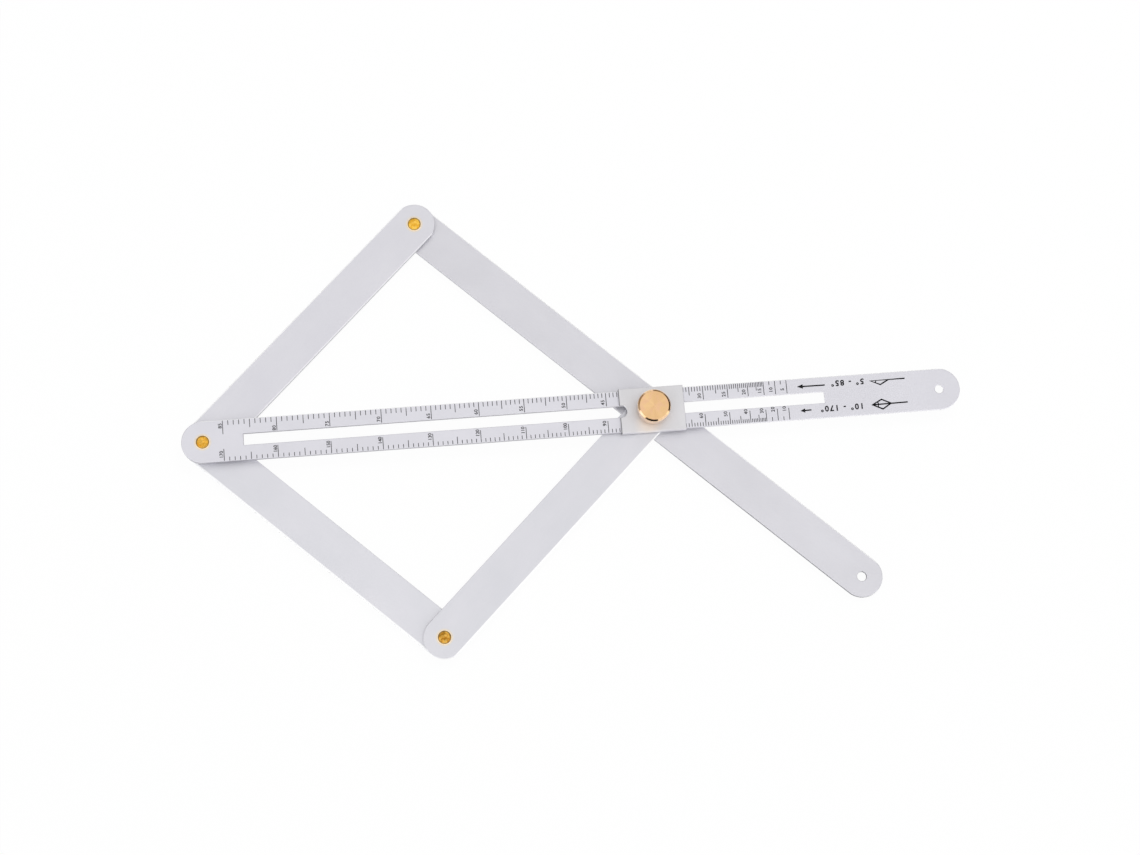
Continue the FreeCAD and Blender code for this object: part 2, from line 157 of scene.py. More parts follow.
room_level = 0.86
world = bpy.data.worlds.new("white_room")
bpy.context.scene.world = world
world.use_nodes = True
tree = world.node_tree
tree.nodes.clear()
level = remap(tree, seen_directly(tree), 0.0, 1.0, room_level, 1.0)
sky = add(tree, "ShaderNodeBackground", {"Color": (1, 1, 1, 1), "Strength": level})
add(tree, "ShaderNodeOutputWorld", {"Surface": sky.outputs[0]})


def flat_sheet(name, size, place, material):
    mesh = bpy.data.meshes.new(name)
    half_x, half_y = size[0] / 2, size[1] / 2
    corners = [(-half_x, -half_y, 0), (half_x, -half_y, 0), (half_x, half_y, 0), (-half_x, half_y, 0)]
    mesh.from_pydata(corners, [], [(0, 1, 2, 3)])
    mesh.transform(place)
    mesh.materials.append(material)
    sheet = bpy.data.objects.new(name, mesh)
    bpy.context.scene.collection.objects.link(sheet)
    return sheet


table_white = bpy.data.materials.new("table_white")
table_white.use_nodes = True
tree = table_white.node_tree
tree.nodes.clear()
grain = add(tree, "ShaderNodeTexNoise", {"Scale": 60.0, "Detail": 3.0})
shade = add(tree, "ShaderNodeCombineColor", {0: remap(tree, grain.outputs["Fac"], 0.3, 0.7, 0.93, 0.95),
                                             1: 0.94, 2: 0.94})
lit = add(tree, "ShaderNodeBsdfDiffuse", {"Color": shade.outputs[0]})
bare = add(tree, "ShaderNodeEmission", {"Color": (1, 1, 1, 1), "Strength": 1.0})
share = calc(tree, "MULTIPLY", seen_directly(tree), 0.95)
both = add(tree, "ShaderNodeMixShader", {0: share, 1: lit.outputs[0], 2: bare.outputs[0]})
add(tree, "ShaderNodeOutputMaterial", {"Surface": both.outputs[0]})
table_side, table_drop = 8.0, 0.02 * MM
flat_sheet("table", (table_side, table_side), Matrix.Translation((0, 0, -table_drop)), table_white)


def from_direction(azimuth, elevation, distance, target=Vector((0, 0, 0))):
    """A matrix at that direction and distance from target, facing back to it with its -Z axis."""
    azimuth, elevation = math.radians(azimuth), math.radians(elevation)
    back = Vector((math.cos(elevation) * math.cos(azimuth), math.cos(elevation) * math.sin(azimuth),
                   math.sin(elevation)))
    return Matrix.Translation(target + back * distance) @ back.to_track_quat("Z", "Y").to_matrix().to_4x4()


lamp_distance, lamp_share = 2.2, 0.16
lamp_azimuth, lamp_elevation = 58, 54
lamp_data = bpy.data.lights.new("window_light", "AREA")
lamp_data.shape = "DISK"
lamp_data.size = 0.7
lamp_data.energy = lamp_share * math.pi ** 2 * lamp_distance ** 2 / math.sin(math.radians(lamp_elevation))
lamp = bpy.data.objects.new("window_light", lamp_data)
lamp.matrix_world = from_direction(lamp_azimuth, lamp_elevation, lamp_distance)
lamp.visible_glossy = False
bpy.context.scene.collection.objects.link(lamp)
print(f"lamp {lamp_data.energy:.1f} W gives {lamp_share:.2f} and the room {room_level:.2f} of a white level")

# %% [markdown]
# Dark and bright cards. A polished knob is only as interesting as what it mirrors, and in a white room it
# looks like painted plastic. A photographer stands dark cards round the table, which give the bevel its dark
# arcs, and bright ones between them for its highlights. Walls further out, grey at the back and bright at
# the front, fill what lies between the cards. All of these are seen by reflections only, so they neither
# shade the tool nor show in the picture. Lamps could draw highlights too, but would light the plates.

# %% Cards that polished brass mirrors
def card(name, azimuth, elevation, width, height, colour, distance=1.5):
    """A card round the knob, width and height in degrees as seen from it."""
    material = bpy.data.materials.new(name)
    material.use_nodes = True
    tree = material.node_tree
    tree.nodes.clear()
    spot = add(tree, "ShaderNodeTexNoise", {"Scale": 4.0, "Detail": 1.0})
    strength = remap(tree, spot.outputs["Fac"], 0.3, 0.7, 0.9, 1.1)
    glow = add(tree, "ShaderNodeEmission", {"Color": (*colour, 1), "Strength": strength})
    add(tree, "ShaderNodeOutputMaterial", {"Surface": glow.outputs[0]})
    size = [2 * distance * math.tan(math.radians(angle / 2)) for angle in (width, height)]
    place = from_direction(azimuth, elevation, distance, stud_axis)
    sheet = flat_sheet(name, size, place, material)
    sheet.visible_camera = sheet.visible_diffuse = sheet.visible_shadow = False
    sheet.visible_transmission = sheet.visible_volume_scatter = False


cards = {
    "card_front": (258, 26.5, 56, 11, (0.006, 0.003, 0.002)),
    "card_low": (238, 6, 84, 20, (0.05, 0.03, 0.02)),
    "card_right": (27, 11, 70, 17, (0.09, 0.07, 0.05)),
    "card_right_top": (72, 4, 20, 12, (0.3, 0.26, 0.2)),
    "card_left": (148, 11, 58, 16, (0.34, 0.29, 0.25)),
    "bright_left": (207, 22, 34, 11, (1.5, 1.65, 2.0)),
    "bright_right": (310, 23.5, 42, 11, (1.1, 1.15, 1.3)),
    "bright_back": (98, 4, 28, 12, (1.0, 1.05, 1.15)),
}
for name, placing in cards.items():
    card(name, *placing)
wall_elevation, wall_distance = 24, 1.9
grey_walls, bright_walls = (20, 84, 148), (226, 310)
for number, azimuth in enumerate(grey_walls):
    card(f"grey_wall_{number}", azimuth, wall_elevation, 64, 46, (0.5, 0.5, 0.51), wall_distance)
for number, azimuth in enumerate(bright_walls):
    card(f"bright_wall_{number}", azimuth, wall_elevation, 72, 48, (1.45, 1.45, 1.45), wall_distance)
print(f"{len(cards)} cards round the knob and {len(grey_walls) + len(bright_walls)} walls behind them")

# %% [markdown]
# Rolled aluminium. The plates are cut from cold rolled sheet: a fine grain runs along each arm, the face
# is a little cloudy, handling leaves faint scratches, and the punched edges are mostly duller than the faces.
# The edges also carry painted light and shade: their colour is set per plate and changes along it, and thin
# bands by the edges are painted highlight lines where light and painted shade lines where dark. Brass dust
# colours the metal round the rivets, and a warm patch beside the slider's knob is a painted reflection of
# the knob that lightens its shade. A photo texture would hold one arm's grain only, so the pattern is made
# from noise that is stretched along the plate, centred on its pivot and turned to its angle. The highlight
# and shade lines are bands along it, and dust and the painted reflection are round patches.

# %% Helpers for surface patterns
def srgb(red, green, blue):
    """A colour as read on a screen, 0 to 255, turned into the light that it stands for."""
    def linear(value):
        value /= 255
        return value / 12.92 if value <= 0.04045 else ((value + 0.055) / 1.055) ** 2.4
    return linear(red), linear(green), linear(blue), 1.0


def new_material(name, **sockets):
    material = bpy.data.materials.new(name)
    material.use_nodes = True
    tree = material.node_tree
    tree.nodes.clear()
    inputs = {key.replace("_", " "): value for key, value in sockets.items()}
    shader = add(tree, "ShaderNodeBsdfPrincipled", inputs)
    add(tree, "ShaderNodeOutputMaterial", {"Surface": shader.outputs[0]})
    return material, tree, shader


def pattern_space(tree, centre, turn=0.0, grain=(MM, MM, MM)):
    """Object coordinates counted in grains from centre, along axes turned about Z."""
    place = add(tree, "ShaderNodeTexCoord").outputs["Object"]
    mapping = add(tree, "ShaderNodeMapping", {"Vector": place, "Location": centre, "Rotation": (0, 0, turn),
                                              "Scale": grain}, vector_type="TEXTURE")
    return mapping.outputs[0]


def noise(tree, vector, detail=2.0, low=0.3, high=0.7, to_low=0.0, to_high=1.0):
    texture = add(tree, "ShaderNodeTexNoise", {"Vector": vector, "Scale": 1.0, "Detail": detail})
    return remap(tree, texture.outputs["Fac"], low, high, to_low, to_high)


def blend(tree, factor, first, second, mode="MIX"):
    return add(tree, "ShaderNodeMix", {0: factor, 6: first, 7: second}, data_type="RGBA",
               blend_type=mode).outputs[2]


def on_cut_edge(tree):
    """0 on a flat face and 1 on a wall, from how far the surface tilts."""
    normal = add(tree, "ShaderNodeNewGeometry").outputs["Normal"]
    upright = add(tree, "ShaderNodeSeparateXYZ", {0: normal}).outputs[2]
    face_tilt, wall_tilt = 0.9, 0.25
    return remap(tree, calc(tree, "ABSOLUTE", upright), face_tilt, wall_tilt)


def relief(tree, height, depth, strength=1.0):
    return add(tree, "ShaderNodeBump", {"Height": height, "Distance": depth, "Strength": strength}).outputs[0]


def distance_out(tree, centre):
    """How far a point lies from an upright axis, in mm, and its places along X and Y from there."""
    parts = add(tree, "ShaderNodeSeparateXYZ", {0: pattern_space(tree, centre)})
    flat = add(tree, "ShaderNodeCombineXYZ", {0: parts.outputs[0], 1: parts.outputs[1]}).outputs[0]
    reach = add(tree, "ShaderNodeVectorMath", {0: flat}, operation="LENGTH").outputs["Value"]
    return reach, parts.outputs[0], parts.outputs[1]


print("white paper is", [round(v, 3) for v in srgb(245, 245, 245)[:3]])

# %% Rolled plate with grain, clouds, scratches and punched edges
def rolled_plate(name, centre, turn, face, cloudy, edges, edge_gloss=0.0, edge_light_bands=(), smear=None,
                 cloud_size=24 * MM):
    """edges is the cut edge's colour near the pivot and far out, then the change's start and end in mm;
    these colours paint light and shade on the walls. The bands are along the plate, from and to in mm
    across it, with a colour: painted highlight and shade lines by the edges. A smear is a round patch:
    its place along and across in mm, the radii where it is full and where it ends, and its colour."""
    material, tree, shader = new_material(name, Metallic=0.9)
    clouds = noise(tree, pattern_space(tree, centre, turn, (cloud_size, cloud_size * 0.7, cloud_size)), 3.0)
    lines = noise(tree, pattern_space(tree, centre, turn, (22 * MM, 0.16 * MM, 4 * MM)), 3.0)
    speck = noise(tree, pattern_space(tree, centre, turn, (0.5 * MM, 0.35 * MM, 0.5 * MM)), 2.0)
    scratch_slant = 0.35
    scratch_space = pattern_space(tree, centre, turn + scratch_slant, (9 * MM, 0.12 * MM, 9 * MM))
    scratches = noise(tree, scratch_space, 1.0, 0.70, 0.78)
    mottle = calc(tree, "MULTIPLY_ADD", speck, 0.25, calc(tree, "MULTIPLY", clouds, 0.75))
    colour = blend(tree, mottle, face, cloudy)
    colour = blend(tree, calc(tree, "MULTIPLY", scratches, 0.35), colour, srgb(236, 236, 238))
    wall = on_cut_edge(tree)
    shear = noise(tree, pattern_space(tree, centre, turn, (0.25 * MM, 0.25 * MM, 3 * MM)), 2.0)
    # The cut edge's colour, set per plate and changing along it, is painted light and shade on the walls.
    near_edge, far_edge, change_from, change_to = edges
    along, across = add(tree, "ShaderNodeSeparateXYZ", {0: pattern_space(tree, centre, turn)}).outputs[:2]
    edge_colour = blend(tree, remap(tree, along, change_from, change_to), near_edge, far_edge)
    edge_colour = blend(tree, calc(tree, "MULTIPLY", shear, 0.3), edge_colour, face)
    colour = blend(tree, wall, colour, edge_colour)
    # Bands along the plate by its edges: painted highlight lines, and painted shade lines where their colour
    # is dark.
    for start, end, band_tint in edge_light_bands:
        colour = blend(tree, remap(tree, across, start, end), colour, band_tint)
    # A round patch of colour: brass dust round the rivets, and on the slider a painted reflection of the
    # knob.
    if smear:
        *place, full, gone, tint = smear
        flat = add(tree, "ShaderNodeCombineXYZ", {0: along, 1: across}).outputs[0]
        reach = add(tree, "ShaderNodeVectorMath", {0: flat, 1: (*place, 0.0)}, operation="DISTANCE")
        colour = blend(tree, remap(tree, reach.outputs["Value"], full, gone, 1.0, 0.0), colour, tint)
    tree.links.new(colour, shader.inputs["Base Color"])
    rough = calc(tree, "MULTIPLY_ADD", lines, 0.07, 0.46)
    rough = calc(tree, "MULTIPLY_ADD", wall, 0.12 - edge_gloss, rough)
    tree.links.new(rough, shader.inputs["Roughness"])
    height = calc(tree, "MULTIPLY_ADD", speck, 0.4, calc(tree, "SUBTRACT", lines, scratches))
    tree.links.new(relief(tree, height, 0.003 * MM, 0.6), shader.inputs["Normal"])
    return material


# Cut-edge and band colours: the darker ones paint shade on the edges, the lighter ones paint highlights.
dark_cut, dim_cut, shaded_cut = srgb(132, 131, 136), srgb(168, 167, 172), srgb(196, 195, 199)
grey_cut, lit_cut, bright_cut = srgb(214, 213, 217), srgb(242, 241, 244), srgb(255, 255, 255)
brass_dust, dust_full, dust_gone = srgb(238, 224, 202), 3.5, 4.4
dust_at_pivot = (0.0, 0.0, dust_full, dust_gone, brass_dust)
dust_at_far_end = (arm_span / MM, 0.0, dust_full, dust_gone, brass_dust)
# The upper arm's round end stands on the ruler's pivot, so its box starts half a width below the middle.
half_ruler, half_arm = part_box("scale_ruler")[1].y / MM, -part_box("upper_arm")[0].y / MM


def even_cut(tint):
    """A cut edge that keeps one colour all along the plate."""
    return tint, tint, 0, 1


plates = {
    "scale_ruler": (ruler_pivot, 0.0, srgb(227, 226, 232), srgb(222, 221, 227),
                    (dim_cut, lit_cut, 150, 270), 0.1,
                    [(half_ruler - 0.4, half_ruler - 0.2, bright_cut)], dust_at_pivot),
    "upper_arm": (ruler_pivot, half_angle, srgb(226, 225, 230), srgb(221, 220, 226), even_cut(grey_cut), 0.1,
                  [(half_arm - 0.5, half_arm - 0.3, bright_cut), (0.7 - half_arm, 0.5 - half_arm, lit_cut),
                   (0.2 - half_arm, 0.05 - half_arm, shaded_cut)], dust_at_far_end),
    "lower_arm": (ruler_pivot, -half_angle, srgb(227, 226, 231), srgb(221, 221, 226),
                  even_cut(bright_cut), 0.4, [(1.05 - half_arm, 0.7 - half_arm, bright_cut)]),
    "short_arm": (lower_pivot, half_angle, srgb(225, 224, 229), srgb(219, 219, 224),
                  even_cut(bright_cut), 0.4, [(0.8 - half_arm, 0.45 - half_arm, bright_cut)],
                  dust_at_pivot),
    "long_arm": (upper_pivot, -half_angle, srgb(224, 223, 228), srgb(218, 217, 222),
                 (shaded_cut, dark_cut, 145, 190), 0.0, [(half_arm - 0.45, half_arm - 0.25, bright_cut)]),
}
for node, (centre, turn, *finish) in plates.items():
    dressed = rolled_plate(f"{node}_aluminium", centre, turn, *finish)
    frame["nodes"][node].material_slots[0].material = dressed
slider_back = -reading_edge / MM
# The slider's edge band is a painted dark shade line along its left edge.
slider_cut, slider_edge_shade, painted_knob_reflection = srgb(232, 231, 234), srgb(150, 149, 152), srgb(243, 236, 230)
# The warm patch beside the knob is a painted reflection of the brass knob that lightens its shade on the
# slider.
slider_metal = rolled_plate("slider_aluminium", stud_axis, math.pi / 2, srgb(228, 227, 230),
                            srgb(219, 218, 220), even_cut(slider_cut), edge_gloss=0.1,
                            edge_light_bands=[(slider_back - 0.4, slider_back - 0.2, slider_edge_shade)],
                            smear=(-8.0, 3.0, 2.0, 7.0, painted_knob_reflection), cloud_size=12 * MM)
frame["nodes"]["slider"].material_slots[0].material = slider_metal
print("rolled plates:", ", ".join(plates), "and slider")

# %% [markdown]
# Washers and the stud. The thin washers between the plates are nylon, milky and slightly scratched by
# turning. The stud and the washer under the knob are zinc plated steel, grey with faint blue clouds.

# %% Nylon and zinc plate
def nylon(name, centre):
    material, tree, shader = new_material(name, Roughness=0.5, Subsurface_Weight=0.15)
    shader.inputs["Subsurface Radius"].default_value = (0.6 * MM, 0.6 * MM, 0.5 * MM)
    clouds = noise(tree, pattern_space(tree, centre, 0.0, (2 * MM, 2 * MM, MM)), 3.0)
    tree.links.new(blend(tree, clouds, srgb(232, 231, 222), srgb(220, 219, 208)), shader.inputs["Base Color"])
    rings = add(tree, "ShaderNodeTexWave", {"Vector": pattern_space(tree, centre), "Scale": 1.6,
                                            "Distortion": 0.6}, wave_type="RINGS", rings_direction="Z")
    tree.links.new(relief(tree, rings.outputs["Fac"], 0.01 * MM, 0.5), shader.inputs["Normal"])
    return material


def zinc_plate(name, centre):
    material, tree, shader = new_material(name, Metallic=1.0)
    clouds = noise(tree, pattern_space(tree, centre, 0.0, (3 * MM, 3 * MM, 2 * MM)), 3.0)
    tree.links.new(blend(tree, clouds, srgb(206, 208, 212), srgb(184, 188, 196)), shader.inputs["Base Color"])
    rings = add(tree, "ShaderNodeTexWave", {"Vector": pattern_space(tree, centre), "Scale": 2.5,
                                            "Distortion": 0.3}, wave_type="RINGS", rings_direction="Z")
    grit = noise(tree, pattern_space(tree, centre, 0.0, (0.2 * MM,) * 3), 2.0)
    tree.links.new(remap(tree, grit, 0.0, 1.0, 0.24, 0.34), shader.inputs["Roughness"])
    tree.links.new(relief(tree, rings.outputs["Fac"], 0.006 * MM, 0.5), shader.inputs["Normal"])
    return material


washer_places = {"ruler_washer_top": ruler_pivot, "ruler_washer_bottom": ruler_pivot,
                 "upper_washer": upper_pivot, "lower_washer": lower_pivot,
                 "stud_washer_top": stud_axis, "stud_washer_bottom": stud_axis}
for node, centre in washer_places.items():
    frame["nodes"][node].material_slots[0].material = nylon(f"{node}_nylon", centre)
for node in ("slider_stud", "knob_washer"):
    frame["nodes"][node].material_slots[0].material = zinc_plate(f"{node}_zinc", stud_axis)
print(len(washer_places), "nylon washers, 2 zinc plated pieces")

# %% [markdown]
# A lathe in Geometry Nodes. The knob and the rivets are turned parts: a profile swept round an axis, with
# grooves cut along the knob's side and small hammer dents on the rivets. Blender's Screw modifier could
# sweep the profile, but not groove or dent it by a rule. Here a grid is wrapped instead: one way round the
# grid is the profile, the other way is the turn, so each point knows both its angle and its level.

# %% Build the lathe tree
def new_geometry_tree(name, sockets):
    """A Geometry Nodes tree with named inputs; returns the tree, its inputs and their identifiers."""
    tree = bpy.data.node_groups.new(name, "GeometryNodeTree")
    tree.interface.new_socket(name="Geometry", in_out="OUTPUT", socket_type="NodeSocketGeometry")
    tree.interface.new_socket(name="Geometry", in_out="INPUT", socket_type="NodeSocketGeometry")
    keys = {}
    for label, kind in sockets.items():
        socket = tree.interface.new_socket(name=label, in_out="INPUT", socket_type="NodeSocket" + kind)
        keys[label] = socket.identifier
    return tree, tree.nodes.new("NodeGroupInput").outputs, keys


def finish_tree(tree, geometry, material):
    """Every tree ends the same way: real geometry instead of instances, then the material."""
    real = add(tree, "GeometryNodeRealizeInstances", {0: geometry}).outputs[0]
    painted = add(tree, "GeometryNodeSetMaterial", {"Geometry": real, "Material": material}).outputs[0]
    add(tree, "NodeGroupOutput", {0: painted})


lathe, given, lathe_keys = new_geometry_tree("lathe", {
    "Segments": "Int", "Grooves": "Int", "Groove Depth": "Float", "Groove Low": "Float",
    "Groove High": "Float", "Dent Depth": "Float", "Dent Size": "Float", "Dent Low": "Float",
    "Seed": "Float", "Material": "Material"})
profile_count = add(lathe, "GeometryNodeAttributeDomainSize", {0: given["Geometry"]}).outputs[0]
columns = calc(lathe, "ADD", given["Segments"], 1.0)
grid = add(lathe, "GeometryNodeMeshGrid", {"Vertices X": columns, "Vertices Y": profile_count}).outputs[0]
index = add(lathe, "GeometryNodeInputIndex").outputs[0]
column = calc(lathe, "FLOOR", calc(lathe, "DIVIDE", calc(lathe, "ADD", index, 0.5), profile_count))
row = calc(lathe, "SUBTRACT", index, calc(lathe, "MULTIPLY", column, profile_count))
spot = add(lathe, "GeometryNodeSampleIndex", {"Geometry": given["Geometry"], "Value": add(
    lathe, "GeometryNodeInputPosition").outputs[0], "Index": row}, data_type="FLOAT_VECTOR")
spot = add(lathe, "ShaderNodeSeparateXYZ", {0: spot.outputs[0]})
radius, level = spot.outputs[0], spot.outputs[2]
turn_share = calc(lathe, "DIVIDE", column, given["Segments"])
turn = calc(lathe, "MULTIPLY", turn_share, math.tau)
groove = calc(lathe, "PINGPONG", calc(lathe, "MULTIPLY", turn_share, given["Grooves"]), 0.5)
groove = calc(lathe, "SUBTRACT", 1.0, calc(lathe, "MULTIPLY", groove, 2.0))
groove = calc(lathe, "POWER", groove, 1.4)
grooved = calc(lathe, "MULTIPLY", calc(lathe, "GREATER_THAN", level, given["Groove Low"]),
               calc(lathe, "LESS_THAN", level, given["Groove High"]))
cut = calc(lathe, "MULTIPLY", calc(lathe, "MULTIPLY", groove, grooved), given["Groove Depth"])
radius = calc(lathe, "SUBTRACT", radius, cut)
place = add(lathe, "ShaderNodeCombineXYZ", {
    0: calc(lathe, "MULTIPLY", radius, calc(lathe, "COSINE", turn)),
    1: calc(lathe, "MULTIPLY", radius, calc(lathe, "SINE", turn)), 2: level}).outputs[0]
dents_per_metre = calc(lathe, "DIVIDE", 1.0, given["Dent Size"])
dent_space = add(lathe, "ShaderNodeVectorMath", {0: place, "Scale": dents_per_metre},
                 operation="SCALE").outputs[0]
dents = add(lathe, "ShaderNodeTexNoise", {"Vector": dent_space, "W": given["Seed"], "Scale": 1.0,
                                          "Detail": 1.0}, noise_dimensions="4D").outputs["Fac"]
dented = calc(lathe, "GREATER_THAN", level, given["Dent Low"])
dents = calc(lathe, "MULTIPLY", remap(lathe, dents, 0.35, 0.65), dented)
sink = calc(lathe, "MULTIPLY", dents, calc(lathe, "MULTIPLY", given["Dent Depth"], -1.0))
sink = add(lathe, "ShaderNodeCombineXYZ", {2: sink}).outputs[0]
placed = add(lathe, "GeometryNodeSetPosition", {"Geometry": grid, "Position": place,
                                                "Offset": sink}).outputs[0]
closed = add(lathe, "GeometryNodeMergeByDistance", {"Geometry": placed, "Distance": 0.0005 * MM}).outputs[0]
finish_tree(lathe, closed, given["Material"])
print("lathe tree:", len(lathe.nodes), "nodes, inputs", ", ".join(lathe_keys))

# %% Turn a profile into a plain, closed piece
def grown(name, start, tree, keys, values):
    """Run a tree on a start mesh and keep its result as a plain mesh object."""
    base = bpy.data.objects.new(name + "_start", start)
    bpy.context.scene.collection.objects.link(base)
    modifier = base.modifiers.new("grow", "NODES")
    modifier.node_group = tree
    for label, value in values.items():
        modifier[keys[label]] = value
    evaluated = base.evaluated_get(bpy.context.evaluated_depsgraph_get())
    mesh = bpy.data.meshes.new_from_object(evaluated)
    base.modifiers.remove(modifier)
    bpy.data.objects.remove(base)
    mesh.name = name
    piece = bpy.data.objects.new(name, mesh)
    bpy.context.scene.collection.objects.link(piece)
    return piece


def outward(piece, smooth_angle=None):
    """Weld the mesh, turn its faces outwards and smooth all but its sharp edges."""
    work = bmesh.new()
    work.from_mesh(piece.data)
    bmesh.ops.remove_doubles(work, verts=work.verts, dist=0.0004 * MM)
    bmesh.ops.recalc_face_normals(work, faces=work.faces)
    if work.calc_volume(signed=True) < 0:
        bmesh.ops.reverse_faces(work, faces=work.faces)
    open_edges = sum(1 for edge in work.edges if not edge.is_manifold)
    work.to_mesh(piece.data)
    work.free()
    if smooth_angle:
        piece.data.shade_smooth()
        piece.data.set_sharp_from_angle(angle=math.radians(smooth_angle))
    return open_edges


def turned(name, profile, axis, **values):
    """A turned piece from (radius, level) points in mm, on an upright axis."""
    start = bpy.data.meshes.new(name + "_profile")
    start.from_pydata([(radius * MM, 0, level * MM) for radius, level in profile],
                      [(n, n + 1) for n in range(len(profile) - 1)], [])
    settings = {"Grooves": 0, "Groove Depth": 0.0, "Groove Low": 0.0, "Groove High": 0.0, "Dent Depth": 0.0,
                "Dent Size": MM, "Dent Low": 1.0, "Seed": 0.0}
    settings.update({key.replace("_", " "): value for key, value in values.items()})
    piece = grown(name, start, lathe, lathe_keys, settings)
    open_edges = outward(piece, smooth_angle=32)
    piece.data.transform(Matrix.Translation(axis))
    print(f"{name}: {len(piece.data.polygons)} faces, {open_edges} open edges")
    return piece


def rounded(points, radius, steps=4):
    """The same polyline with each of its inner corners rounded off, in mm."""
    smooth = [points[0]]
    for before, corner, after in zip(points, points[1:], points[2:]):
        corner_at = Vector(corner)
        first, second = Vector(before) - corner_at, Vector(after) - corner_at
        reach = min(radius, first.length * 0.45, second.length * 0.45)
        start, end = corner_at + first.normalized() * reach, corner_at + second.normalized() * reach
        for step in range(steps + 1):
            t = step / steps
            smooth.append(tuple(start * (1 - t) ** 2 + corner_at * 2 * t * (1 - t) + end * t ** 2))
    return smooth + [points[-1]]


print("rounded corner:", [tuple(round(v, 2) for v in p) for p in rounded([(0, 0), (1, 0), (1, 1)], 0.2, 2)])

# %% [markdown]
# The thumb knob. On the real tool it is turned from brass bar: a neck, a grooved side for the fingers, a
# polished bevel and a flat face with fine turning rings and a small centre mark. The profile follows the
# CAD knob's levels, with each edge broken by a small radius, which is what makes an edge catch light.

# %% Polished brass and the turned knob
def turned_brass(name, centre, rim, face_radius):
    material, tree, shader = new_material(name, Metallic=1.0)
    reach, along_x, along_y = distance_out(tree, centre)
    angle = calc(tree, "ARCTAN2", along_y, along_x)
    # The face's colour swings twice round the axis in a bow tie, broken up by noise: a painted sheen of the
    # turned face.
    sheen_space = add(tree, "ShaderNodeCombineXYZ", {
        0: calc(tree, "MULTIPLY", calc(tree, "COSINE", angle), 1.6),
        1: calc(tree, "MULTIPLY", calc(tree, "SINE", angle), 1.6),
        2: calc(tree, "MULTIPLY", reach, 0.05)}).outputs[0]
    sheen_bow_tie = calc(tree, "COSINE", calc(tree, "MULTIPLY_ADD", angle, 2.0, math.radians(-300)))
    painted_sheen = calc(tree, "MULTIPLY_ADD", sheen_bow_tie, -0.32, noise(tree, sheen_space, 2.0, 0.3, 0.7, 0.2, 0.8), clamp=True)
    clouds = noise(tree, pattern_space(tree, centre, 0.4, (3.2 * MM,) * 3), 2.0)
    colour = blend(tree, painted_sheen, srgb(245, 205, 153), srgb(228, 184, 137))
    colour = blend(tree, calc(tree, "MULTIPLY", clouds, 0.35), colour, srgb(236, 196, 136))
    pink = noise(tree, pattern_space(tree, centre, 1.3, (3.6 * MM,) * 3), 1.0, 0.5, 0.66)
    colour = blend(tree, calc(tree, "MULTIPLY", pink, 0.55), colour, srgb(238, 190, 156))
    wall = on_cut_edge(tree)
    # Past the rim the shoulder is painted near white: a painted highlight.
    past_rim = remap(tree, reach, rim - 0.05, rim + 0.05)
    wear_and_rim_highlight = calc(tree, "MULTIPLY", past_rim, calc(tree, "SUBTRACT", 1.0, wall))
    # The grooved side is painted a paler brass than the face: painted light for the bright room that it
    # mirrors.
    colour = blend(tree, wall, colour, srgb(230, 202, 176))
    colour = blend(tree, wear_and_rim_highlight, colour, srgb(255, 238, 218))
    tree.links.new(colour, shader.inputs["Base Color"])
    ring_space = add(tree, "ShaderNodeCombineXYZ", {0: calc(tree, "MULTIPLY", reach, 7.0)}).outputs[0]
    flat = remap(tree, reach, face_radius - 0.1, face_radius, 1.0, 0.0)
    rings = calc(tree, "MULTIPLY", noise(tree, ring_space, 2.0), flat)
    tree.links.new(calc(tree, "MULTIPLY_ADD", rings, 0.12, 0.08), shader.inputs["Roughness"])
    tree.links.new(relief(tree, rings, 0.006 * MM, 0.5), shader.inputs["Normal"])
    return material


knob_low, knob_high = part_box("thumb_knob")
knob_radius = (knob_high.x - knob_low.x) / 2 / MM
foot, top = knob_low.z / MM, knob_high.z / MM
bore, bore_top = 2.45, top - 1.6
rim, bevel_wide, bevel_high = knob_radius - 0.22, 0.86, 0.66
rim_level, face_radius = top - bevel_high - 0.03, rim - bevel_wide
neck, neck_top, under_bevel = knob_radius - 0.5, foot + 2.0, 0.3
outline = [(0, bore_top), (bore, bore_top), (bore, foot), (neck, foot), (neck, neck_top),
           (knob_radius - under_bevel, neck_top), (knob_radius, neck_top + under_bevel),
           (knob_radius, rim_level - 0.34)]
side = rounded(outline, 0.18, 3)
shoulder = [(knob_radius - 0.01, rim_level - 0.27), (knob_radius - 0.1, rim_level - 0.15),
            (knob_radius - 0.2, rim_level - 0.04), (rim, rim_level + 0.02)]
bevel_shares, face_shares = (0.01, 0.07, 0.5, 0.92, 0.98), (0.97, 0.8, 0.6, 0.4, 0.2)
bevel = [(rim - bevel_wide * share, rim_level + 0.03 + bevel_high * share) for share in bevel_shares]
face = [(face_radius - 0.03, top)] + [(face_radius * share, top) for share in face_shares]
dimple = [(0.62, top - 0.02), (0.45, top - 0.07), (0.2, top - 0.10), (0, top - 0.11)]
groove_count, points_per_groove = 72, 8
knob = turned("turned_knob", side + shoulder + bevel + face + dimple, stud_axis,
              Segments=groove_count * points_per_groove, Grooves=groove_count, Groove_Depth=0.12 * MM,
              Groove_Low=(neck_top + under_bevel) * MM, Groove_High=(rim_level - 0.4) * MM,
              Material=turned_brass("knob_turned_brass", stud_axis, rim, face_radius))
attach(knob, "thumb_knob")
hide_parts("thumb_knob")
